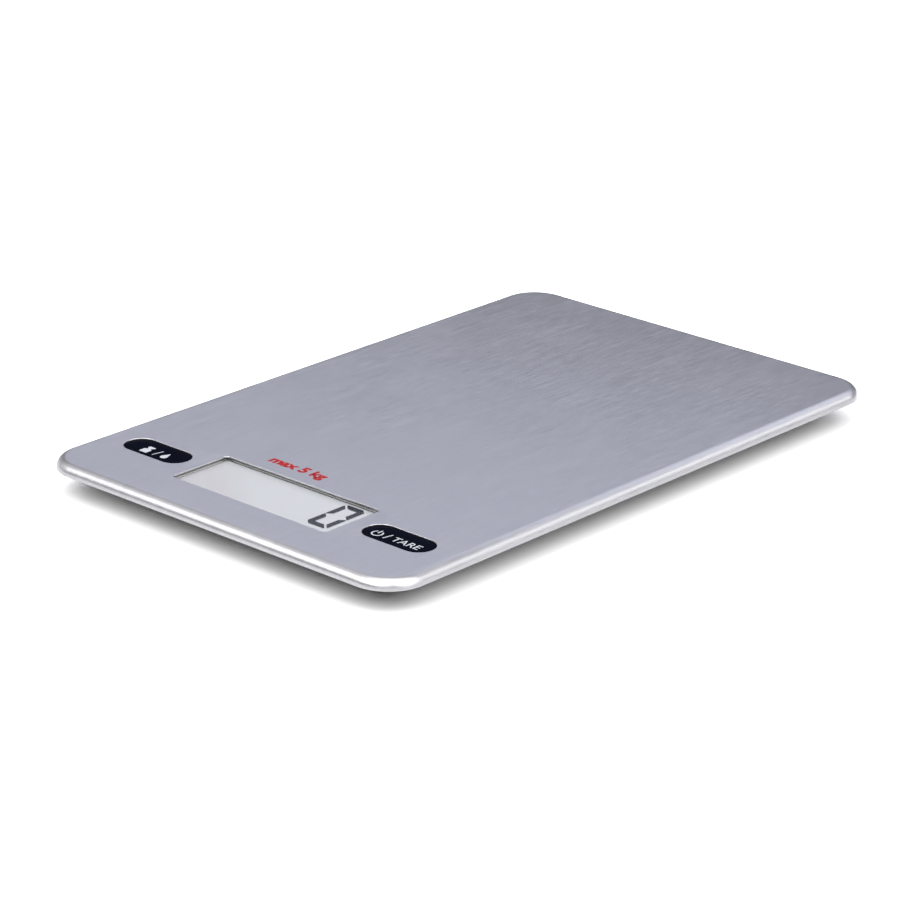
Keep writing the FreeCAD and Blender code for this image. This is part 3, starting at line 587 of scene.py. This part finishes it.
b = lettering("tare_word", "TARE", 3.15 * MM, ink_low, 48.15 * MM, -87.35 * MM, bold=0.02 * MM, wide=1.03)
power_mark(b, 42.1 * MM, -86.05 * MM)
slash(b, 45.95 * MM, -85.75 * MM, 3.6 * MM, 0.8 * MM, 0.45 * MM)
tare_legend = as_piece("tare_legend", b)
for piece, name in ((unit_legend, "unit"), (tare_legend, "tare")):
    piece.data.materials.append(key_ink)
    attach(piece, f"key_{name}")

# ---- Coin cell and contacts ----------------------------------------------------------------------
# A nickel-plated lithium cell, pressed from sheet, sits between two bent contacts of spring steel
# that are stamped and rolled.
nickel = rolled_metal("nickel_plate", (0.66, 0.65, 0.62), rough=0.22, length=1.0)
dress(nickel, "coin_cell")
dress(spring_steel, "negative_contact", "positive_contact")

# ---- Bottom cover, battery door and label --------------------------------------------------------
# A shallow dish of black ABS closes the underside. Its battery door, moulded with its own latch
# finger and thumb grooves, is set flush. The label is a blank metallised sticker.
cover_abs = moulded("cover_black_abs", (0.024, 0.024, 0.026), rough=0.5, texture=0.45 * MM, depth=0.03 * MM)
for node, name, body in (
    ("bottom_cover", "base_cover", "root"),
    ("battery_door", "battery_lid", "battery_door"),
    ("battery_door_latch", "battery_lid_latch", "battery_door"),
):
    piece = refined(node, name)
    piece.data.materials.clear()
    piece.data.materials.append(cover_abs)
    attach(piece, body)
    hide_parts(node)


def metallised_film(name):
    """Silvered label film: brushed look, with a thin dark border printed round its edge."""
    made, tree, shader, place = new_material(name)
    low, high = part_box("rating_label")
    middle, half = (low + high) / 2, (high - low) / 2
    split = tree.nodes.new("ShaderNodeSeparateXYZ")
    tree.links.new(place, split.inputs["Vector"])
    edge = None
    for axis, centre, reach in (("X", middle.x, half.x), ("Y", middle.y, half.y)):
        offset = tree.nodes.new("ShaderNodeMath")
        offset.operation = "SUBTRACT"
        offset.inputs[1].default_value = centre
        tree.links.new(split.outputs[axis], offset.inputs[0])
        away = tree.nodes.new("ShaderNodeMath")
        away.operation = "ABSOLUTE"
        tree.links.new(offset.outputs[0], away.inputs[0])
        line = spread(tree, away.outputs[0], 0.0, 1.0, reach - 1.3 * MM, reach - 1.25 * MM)
        inside = spread(tree, away.outputs[0], 1.0, 0.0, reach - 1.05 * MM, reach - 1.0 * MM)
        band = tree.nodes.new("ShaderNodeMath")
        band.operation = "MULTIPLY"
        tree.links.new(line, band.inputs[0])
        tree.links.new(inside, band.inputs[1])
        if edge is None:
            edge = band.outputs[0]
            continue
        both = tree.nodes.new("ShaderNodeMath")
        both.operation = "MAXIMUM"
        tree.links.new(edge, both.inputs[0])
        tree.links.new(band.outputs[0], both.inputs[1])
        edge = both.outputs[0]
    tree.links.new(tint(tree, edge, (0.55, 0.56, 0.58), (0.12, 0.12, 0.13)), shader.inputs["Base Color"])
    lines = grain(tree, place, 0.2 * MM, 2.0, stretch=(30.0, 1.0, 1.0))
    tree.links.new(spread(tree, lines, 0.3, 0.45), shader.inputs["Roughness"])
    shader.inputs["Metallic"].default_value = 0.6
    return made


dress(metallised_film("label_film"), "rating_label")

# ---- Housing screws ------------------------------------------------------------------------------
# Six zinc-plated pan-head screws with a cross recess go up through the cover into the carrier. One
# screw is made, and the tree below sets it at each place.


def pan_head_screw(name, head_r, head_h, shank_r, shank_l):
    """One screw pointing up, the underside of its head at the origin."""
    head = [(0.0, -head_h), (head_r, -head_h), (head_r, 0.0)]
    shank = [(shank_r, 0.0), (shank_r, shank_l), (0.0, shank_l + shank_r)]
    screw = lathe(name, eased(head + shank, head_h * 0.4), (0.0, 0.0), steps=32)
    b = bmesh.new()
    reach, wide, deep = head_r * 0.62, head_r * 0.13, head_h * 0.62
    for long_x, long_y in ((reach, wide), (wide, reach)):
        outline = [(-long_x, -long_y), (long_x, -long_y), (long_x, long_y), (-long_x, long_y)]
        flat_shape(b, outline, -head_h - 1.0 * MM, deep - head_h)
    cross = as_piece(name + "_cross", b)
    carve = screw.modifiers.new("cross", "BOOLEAN")
    carve.object = cross
    carve.solver = "EXACT"
    apply_modifiers(screw)
    bpy.data.objects.remove(cross)
    return screw


TURN_SEED = 7


def set_at_places(name, single, places, finish):
    """A plain mesh of one copy of single at each place, made by a small Geometry Nodes tree."""
    points = bpy.data.meshes.new(name)
    points.from_pydata([tuple(p) for p in places], [], [])
    piece = bpy.data.objects.new(name, points)
    bpy.context.scene.collection.objects.link(piece)
    tree = bpy.data.node_groups.new(name + "_tree", "GeometryNodeTree")
    tree.interface.new_socket("Geometry", in_out="INPUT", socket_type="NodeSocketGeometry")
    turn_socket = tree.interface.new_socket("Turn seed", in_out="INPUT", socket_type="NodeSocketInt")
    scale_socket = tree.interface.new_socket("Size", in_out="INPUT", socket_type="NodeSocketFloat")
    tree.interface.new_socket("Geometry", in_out="OUTPUT", socket_type="NodeSocketGeometry")
    start = tree.nodes.new("NodeGroupInput")
    end = tree.nodes.new("NodeGroupOutput")
    source = tree.nodes.new("GeometryNodeObjectInfo")
    source.inputs["Object"].default_value = single
    turn = tree.nodes.new("FunctionNodeRandomValue")
    turn.data_type = "FLOAT"
    turn.inputs["Max"].default_value = math.pi / 2
    euler = tree.nodes.new("ShaderNodeCombineXYZ")
    copies = tree.nodes.new("GeometryNodeInstanceOnPoints")
    realize = tree.nodes.new("GeometryNodeRealizeInstances")
    paint = tree.nodes.new("GeometryNodeSetMaterial")
    paint.inputs["Material"].default_value = finish
    random_value = next(s for s in turn.outputs if s.enabled and s.type == "VALUE")
    seed = next(s for s in turn.inputs if s.name == "Seed")
    link = tree.links.new
    link(start.outputs["Geometry"], copies.inputs["Points"])
    link(start.outputs["Turn seed"], seed)
    link(start.outputs["Size"], copies.inputs["Scale"])
    link(source.outputs["Geometry"], copies.inputs["Instance"])
    link(random_value, euler.inputs["Z"])
    link(euler.outputs["Vector"], copies.inputs["Rotation"])
    link(copies.outputs["Instances"], realize.inputs["Geometry"])
    link(realize.outputs["Geometry"], paint.inputs["Geometry"])
    link(paint.outputs["Geometry"], end.inputs["Geometry"])
    grow = piece.modifiers.new("copies", "NODES")
    grow.node_group = tree
    grow[turn_socket.identifier] = TURN_SEED
    grow[scale_socket.identifier] = 1.0
    return apply_modifiers(piece)


low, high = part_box("housing_screws")
head_height = 1.2 * MM
right_side = ((24.5, -60.0), (52.0, 20.0), (26.0, 92.0))
screw_places = [(side * x * MM, y * MM, low.z + head_height) for side in (-1, 1) for x, y in right_side]
one_screw = pan_head_screw("one_screw", 2.0 * MM, head_height, 1.1 * MM, 3.6 * MM)
screws = set_at_places("cover_screws", one_screw, screw_places, zinc_plate)
bpy.data.objects.remove(one_screw)
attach(screws, "root")
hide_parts("housing_screws")

# ---- Steel platform ------------------------------------------------------------------------------
# One sheet of stainless steel, 0.5 mm thick, brushed from front to back before it was pressed, so its
# lines run on over the rounded rim. The window and the two key openings are punched, and their edges
# are slightly rolled.


def rounded_rectangle(width, depth, corner, centre=(0.0, 0.0), steps=20):
    """Points round a rectangle with round corners, each with its outward direction."""
    hw, hd = width / 2 - corner, depth / 2 - corner
    points = []
    for cx, cy, start in ((hw, hd, 0), (-hw, hd, 90), (-hw, -hd, 180), (hw, -hd, 270)):
        for n in range(steps + 1):
            a = math.radians(start + 90 * n / steps)
            out = Vector((math.cos(a), math.sin(a)))
            points.append((Vector((centre[0] + cx, centre[1] + cy)) + out * corner, out))
    return points


def ring(b, outline, inset, z, blank, run):
    """A closed loop of vertices, moved in by inset. blank keeps where each was on the flat sheet."""
    made = []
    for point, out in outline:
        at = point - out * inset
        v = b.verts.new((at.x, at.y, z))
        blank[v] = point + out * run
        made.append(v)
    return made


def wall(b, first, second):
    """Faces between two loops."""
    for n in range(len(first)):
        m = (n + 1) % len(first)
        b.faces.new((first[n], first[m], second[m], second[n]))


def sheet_face(b, outer, holes):
    """A flat face inside the outer loop with the holes left open."""
    edges = []
    for loop in [outer] + holes:
        for n, v in enumerate(loop):
            other = loop[(n + 1) % len(loop)]
            edges.append(b.edges.get((v, other)) or b.edges.new((v, other)))
    bmesh.ops.triangle_fill(b, use_beauty=True, use_dissolve=False, edges=edges, normal=(0.0, 0.0, 1.0))


def pressed_platform(name):
    """The sheet with its rim pressed down, from the flat top round to the underside."""
    low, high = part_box("platform_cover")
    corner, edge, sheet, rolled = 12.8 * MM, 3.1 * MM, 0.5 * MM, 0.15 * MM
    border, hole_border, burr = 0.5 * MM, 0.2 * MM, 0.08 * MM
    edge_steps, rolled_steps = 14, 4
    width, depth, top = high.x - low.x, high.y - low.y, high.z
    outline = rounded_rectangle(width, depth, corner)
    inner_outline = [(p - out * sheet, out) for p, out in outline]
    b, blank = bmesh.new(), {}
    turns = [math.radians(90 * n / edge_steps) for n in range(edge_steps + 1)]

    flat_loop = ring(b, outline, edge + border, top, blank, -edge - border)
    before = flat_loop
    for a in turns:
        z = top - edge * (1 - math.cos(a))
        here = ring(b, outline, edge * (1 - math.sin(a)), z, blank, edge * (a - 1))
        wall(b, before, here)
        before = here
    drop = edge * (math.pi / 2 - 1) + (top - edge - low.z)
    for inset, z in ((0.0, low.z + burr), (burr, low.z), (sheet, low.z)):
        here = ring(b, outline, inset, z, blank, drop)
        wall(b, before, here)
        before = here
    inside = edge - sheet
    for a in reversed(turns):
        z = top - sheet - inside * (1 - math.cos(a))
        here = ring(b, inner_outline, inside * (1 - math.sin(a)), z, blank, 0.0)
        wall(b, before, here)
        before = here
    under_loop = ring(b, inner_outline, inside + border, top - sheet, blank, 0.0)
    wall(b, before, under_loop)

    upper_holes, lower_holes = [], []
    for hole in openings():
        loop = ring(b, hole, -rolled - hole_border, top, blank, 0.0)
        upper_holes.append(loop)
        before = loop
        for n in range(rolled_steps + 1):
            a = math.radians(90 * n / rolled_steps)
            z = top - rolled * (1 - math.cos(a))
            here = ring(b, hole, -rolled * (1 - math.sin(a)), z, blank, 0.0)
            wall(b, before, here)
            before = here
        here = ring(b, hole, 0.0, top - sheet, blank, 0.0)
        wall(b, before, here)
        outer = ring(b, hole, -hole_border, top - sheet, blank, 0.0)
        wall(b, here, outer)
        lower_holes.append(outer)
    sheet_face(b, flat_loop, upper_holes)
    sheet_face(b, under_loop, lower_holes)

    flat = b.loops.layers.uv.new("blank")
    for face in b.faces:
        for loop in face.loops:
            loop[flat].uv = blank[loop.vert]
    piece = as_piece(name, b, crease=50.0)
    weigh = piece.modifiers.new("weigh", "WEIGHTED_NORMAL")
    weigh.keep_sharp = True
    return apply_modifiers(piece)


def openings():
    """The window and the two key openings, as outlines."""
    row_y, key_x = -85.2 * MM, 49.8 * MM
    window_w, window_d, window_corner = 63.3 * MM, 23.1 * MM, 1.5 * MM
    key_w, key_d = 25.4 * MM, 10.6 * MM
    key_corner = key_d / 2 - 0.001 * MM
    holes = [rounded_rectangle(window_w, window_d, window_corner, (0.0, row_y), 8)]
    for x in (-key_x, key_x):
        holes.append(rounded_rectangle(key_w, key_d, key_corner, (x, row_y), 16))
    return holes


def brushed_steel(name, colour, dark):
    """Stainless steel with fine lines along the blank's length, in tone, gloss and relief, with painted
    shade darkening the lower part of its rim.
    """
    made, tree, shader, solid = new_material(name)
    blank = tree.nodes.new("ShaderNodeUVMap")
    blank.uv_map = "blank"
    place = blank.outputs["UV"]
    fine = grain(tree, place, 0.42 * MM, 2.0, stretch=(1.0, 14.0, 1.0))
    coarse = grain(tree, place, 1.1 * MM, 3.0, stretch=(1.0, 22.0, 1.0))
    clouds = grain(tree, place, 30 * MM, 2.0)
    add = tree.nodes.new("ShaderNodeMix")
    add.inputs["Factor"].default_value = 0.45
    tree.links.new(fine, add.inputs["A"])
    tree.links.new(coarse, add.inputs["B"])
    streaks = add.outputs["Result"]
    split = tree.nodes.new("ShaderNodeSeparateXYZ")
    tree.links.new(solid, split.inputs["Vector"])
    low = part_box("platform_cover")[0].z
    # painted shade: pressed is a mask from the rim's bottom up, and it darkens the base colour there to 0.6
    # and 0.64 of its tone
    pressed = spread(tree, split.outputs["Z"], 0.0, 1.0, low + 0.6 * MM, low + 2.4 * MM)
    dark_with_rim_shade = tint(tree, pressed, shade(dark, 0.60), dark)
    mix = tree.nodes.new("ShaderNodeMix")
    mix.data_type = "RGBA"
    tree.links.new(spread(tree, streaks, 0.0, 1.0), mix.inputs["Factor"])
    tree.links.new(dark_with_rim_shade, mix.inputs["A"])
    tree.links.new(tint(tree, pressed, shade(colour, 0.64), colour), mix.inputs["B"])
    tree.links.new(mix.outputs["Result"], shader.inputs["Base Color"])
    rough = tree.nodes.new("ShaderNodeMath")
    tree.links.new(spread(tree, streaks, 0.34, 0.42), rough.inputs[0])
    tree.links.new(spread(tree, clouds, -0.008, 0.008), rough.inputs[1])
    tree.links.new(rough.outputs[0], shader.inputs["Roughness"])
    shader.inputs["Metallic"].default_value = 1.0
    shader.inputs["Anisotropic"].default_value = 0.65
    across = tree.nodes.new("ShaderNodeTangent")
    across.direction_type = "UV_MAP"
    across.uv_map = "blank"
    tree.links.new(across.outputs["Tangent"], shader.inputs["Tangent"])
    relief(tree, shader, fine, 0.001 * MM, 0.5)
    return made


platform = pressed_platform("steel_platform")
steel_light, steel_dark = (0.605, 0.603, 0.630), (0.535, 0.533, 0.558)
platform.data.materials.append(brushed_steel("brushed_stainless", steel_light, steel_dark))
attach(platform, "root")
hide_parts("platform_cover")

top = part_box("platform_cover")[1].z
mark_left, mark_base = -20.0 * MM, -68.1 * MM
b = lettering(
    "capacity_mark", "max 5 kg", 4.0 * MM, top + INK_GAP, mark_left, mark_base, bold=0.26 * MM, wide=1.12
)
mark = as_piece("capacity_mark", b)
mark.data.materials.append(printed_ink("red_ink", (0.24, 0.008, 0.008)))
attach(mark, "root")

# ---- Studio --------------------------------------------------------------------------------------
# A white paper floor under a faint light overhead. Two large soft boxes, at the front and at the
# right, light the steel, a small one behind lights its far rim, and a low panel is mirrored in it.
# The world is dim, with a brighter patch behind on the left.


def studio_floor():
    """A round sheet of white paper, laid with its top at the table's height."""
    b = bmesh.new()
    radius, thick, sides = 6.0, 0.02, 60
    flat_shape(b, arc_points((0.0, 0.0), radius, 0.0, 360.0 - 360.0 / sides, sides - 1), -thick, 0.0)
    floor = as_piece("studio_floor", b)
    made, tree, shader, place = new_material("white_sweep")
    paper = spread(tree, grain(tree, place, 0.4, 2.0), 0.93, 0.95)
    tree.links.new(paper, shader.inputs["Base Color"])
    shader.inputs["Roughness"].default_value = 0.9
    shader.inputs["Specular IOR Level"].default_value = 0.1
    floor.data.materials.append(made)


def soft_box(name, place, aim, width, height, power, colour=(1.0, 1.0, 1.0)):
    """A rectangular light at place that faces aim, with its power in watts."""
    light = bpy.data.lights.new(name, "AREA")
    light.color = colour
    light.shape = "RECTANGLE"
    light.size, light.size_y = width, height
    light.energy = power
    lamp = bpy.data.objects.new(name, light)
    bpy.context.scene.collection.objects.link(lamp)
    lamp.location = place
    lamp.rotation_euler = (Vector(aim) - Vector(place)).to_track_quat("-Z", "Y").to_euler()


studio_floor()
world = bpy.data.worlds.new("studio")
bpy.context.scene.world = world
world.use_nodes = True
sky = world.node_tree
toward = sky.nodes.new("ShaderNodeVectorMath")
toward.operation = "DOT_PRODUCT"
toward.inputs[1].default_value = Vector((-0.62, 0.72, 0.28)).normalized()
sky.links.new(sky.nodes.new("ShaderNodeTexCoord").outputs["Generated"], toward.inputs[0])
strength = spread(sky, toward.outputs["Value"], 0.42, 0.02, 0.76, 0.95)
sky.links.new(strength, sky.nodes["Background"].inputs["Strength"])
sky.nodes["Background"].inputs["Color"].default_value = (1.0, 1.0, 1.0, 1.0)
middle = (0.0, 0.0, 0.0)
soft_box("overhead", (0.2, -0.2, 1.6), middle, 1.3, 1.3, 12.0)
soft_box("front_key", (-0.10, -1.40, 1.40), middle, 1.9, 1.3, 46.0)
soft_box("right_key", (1.50, 0.10, 1.40), middle, 1.9, 1.3, 43.0)
soft_box("back_right", (1.0, 1.2, 0.75), middle, 0.9, 0.5, 3.0)
soft_box("back_panel", (-0.18, 0.37, 0.34), (0.03, -0.05, 0.0), 0.75, 0.26, 0.68, (0.80, 0.83, 1.0))

azimuth, elevation, roll = math.radians(41.912), math.radians(21.126), 0.0117
distance, aim = 1049.2 * MM, Vector((15.18 * MM, -22.30 * MM, 12.0 * MM))
back = Vector((
    math.sin(azimuth) * math.cos(elevation), -math.cos(azimuth) * math.cos(elevation), math.sin(elevation)
))
lens = bpy.data.cameras.new("studio_camera")
lens.lens, lens.sensor_width = 136.4, 36.0
camera = bpy.data.objects.new("studio_camera", lens)
bpy.context.scene.collection.objects.link(camera)
camera.location = aim + back * distance
turned = back.to_track_quat("Z", "Y").to_matrix()
tilt = math.cos(roll), math.sin(roll)
right, up = turned.col[0].copy(), turned.col[1].copy()
turned.col[0], turned.col[1] = right * tilt[0] + up * tilt[1], up * tilt[0] - right * tilt[1]
camera.rotation_euler = turned.to_euler()
bpy.context.scene.camera = camera
bpy.context.scene.view_settings.view_transform = "Standard"
